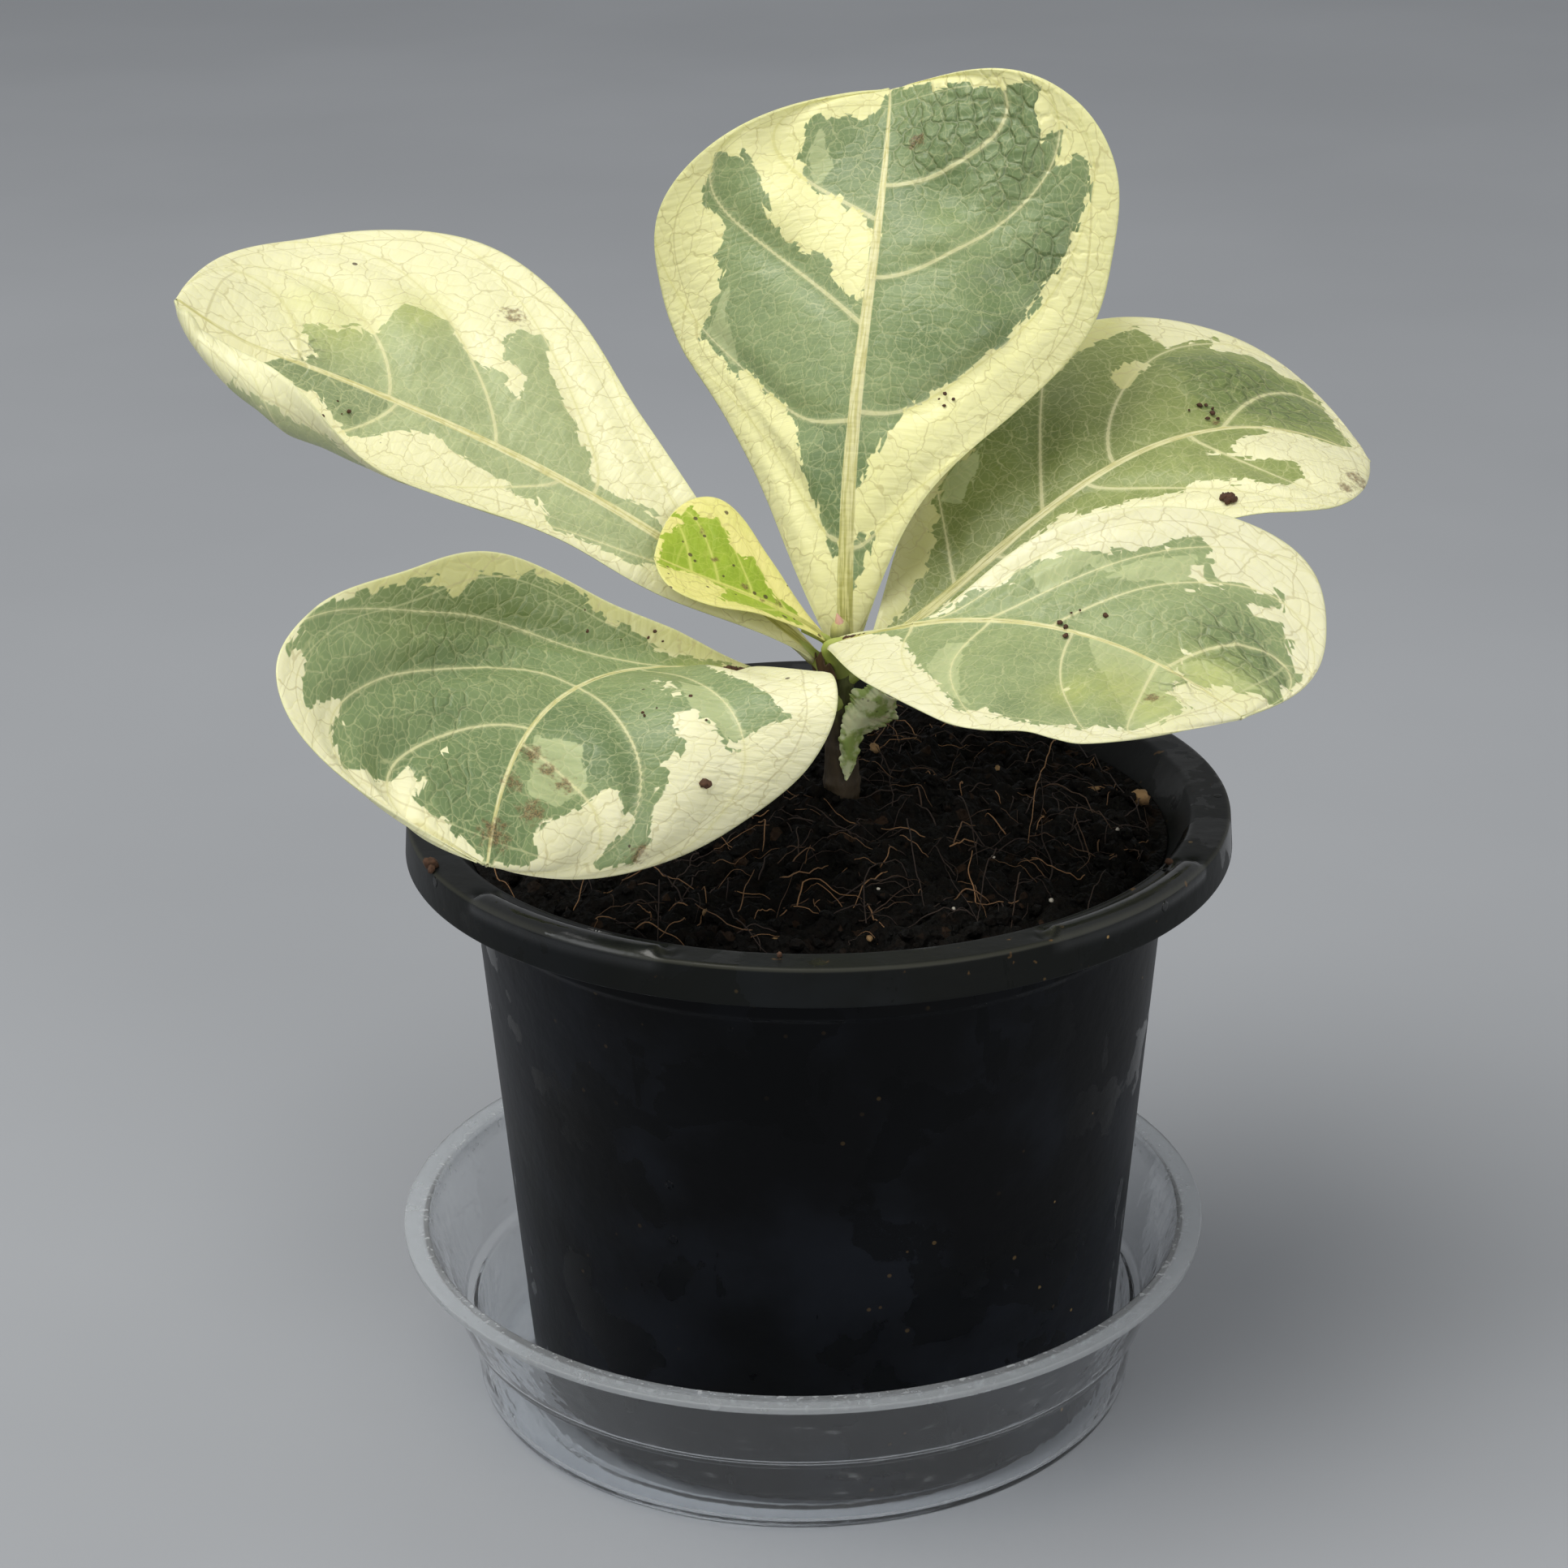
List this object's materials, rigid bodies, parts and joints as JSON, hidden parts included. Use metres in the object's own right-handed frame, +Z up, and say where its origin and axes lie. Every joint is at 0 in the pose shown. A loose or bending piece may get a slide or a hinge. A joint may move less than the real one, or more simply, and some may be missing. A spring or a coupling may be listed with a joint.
{
  "type": "potted variegated fiddle-leaf fig",
  "caption": "Young fiddle-leaf fig with cream-edged leaves on a short stem, in a round black nursery pot that stands in a clear saucer.",
  "frame": {"origin": "on the saucer's underside, straight below the axis of the pot", "axes": "+Z up, -Y to the front where one leaf droops over the rim, +X to the right as seen from the front"},
  "size_m": [0.2186, 0.1622, 0.2418],
  "materials": {
    "saucer_plastic": "clear, thin and slightly scuffed",
    "pot_plastic": "black, satin, with dust and water marks",
    "soil_mix": "moist, dark and crumbly, with red-brown fibres",
    "stem_bark": "olive green going brown towards the soil",
    "leaf_blade": "waxy, grey-green with a cream margin and puckered between the veins",
    "young_blade": "soft sheen, lime green with a yellow margin",
    "sheath": "thin, dry and pale green"
  },
  "bodies": {
    "root": {"saucer": "saucer_plastic", "pot": "pot_plastic", "soil": "soil_mix", "stem": "stem_bark", "leaf_A": "leaf_blade", "leaf_B": "leaf_blade", "leaf_C": "leaf_blade", "leaf_D": "leaf_blade", "leaf_E": "leaf_blade", "leaf_young": "young_blade", "stipule": "sheath"}
  },
  "joints": []
}
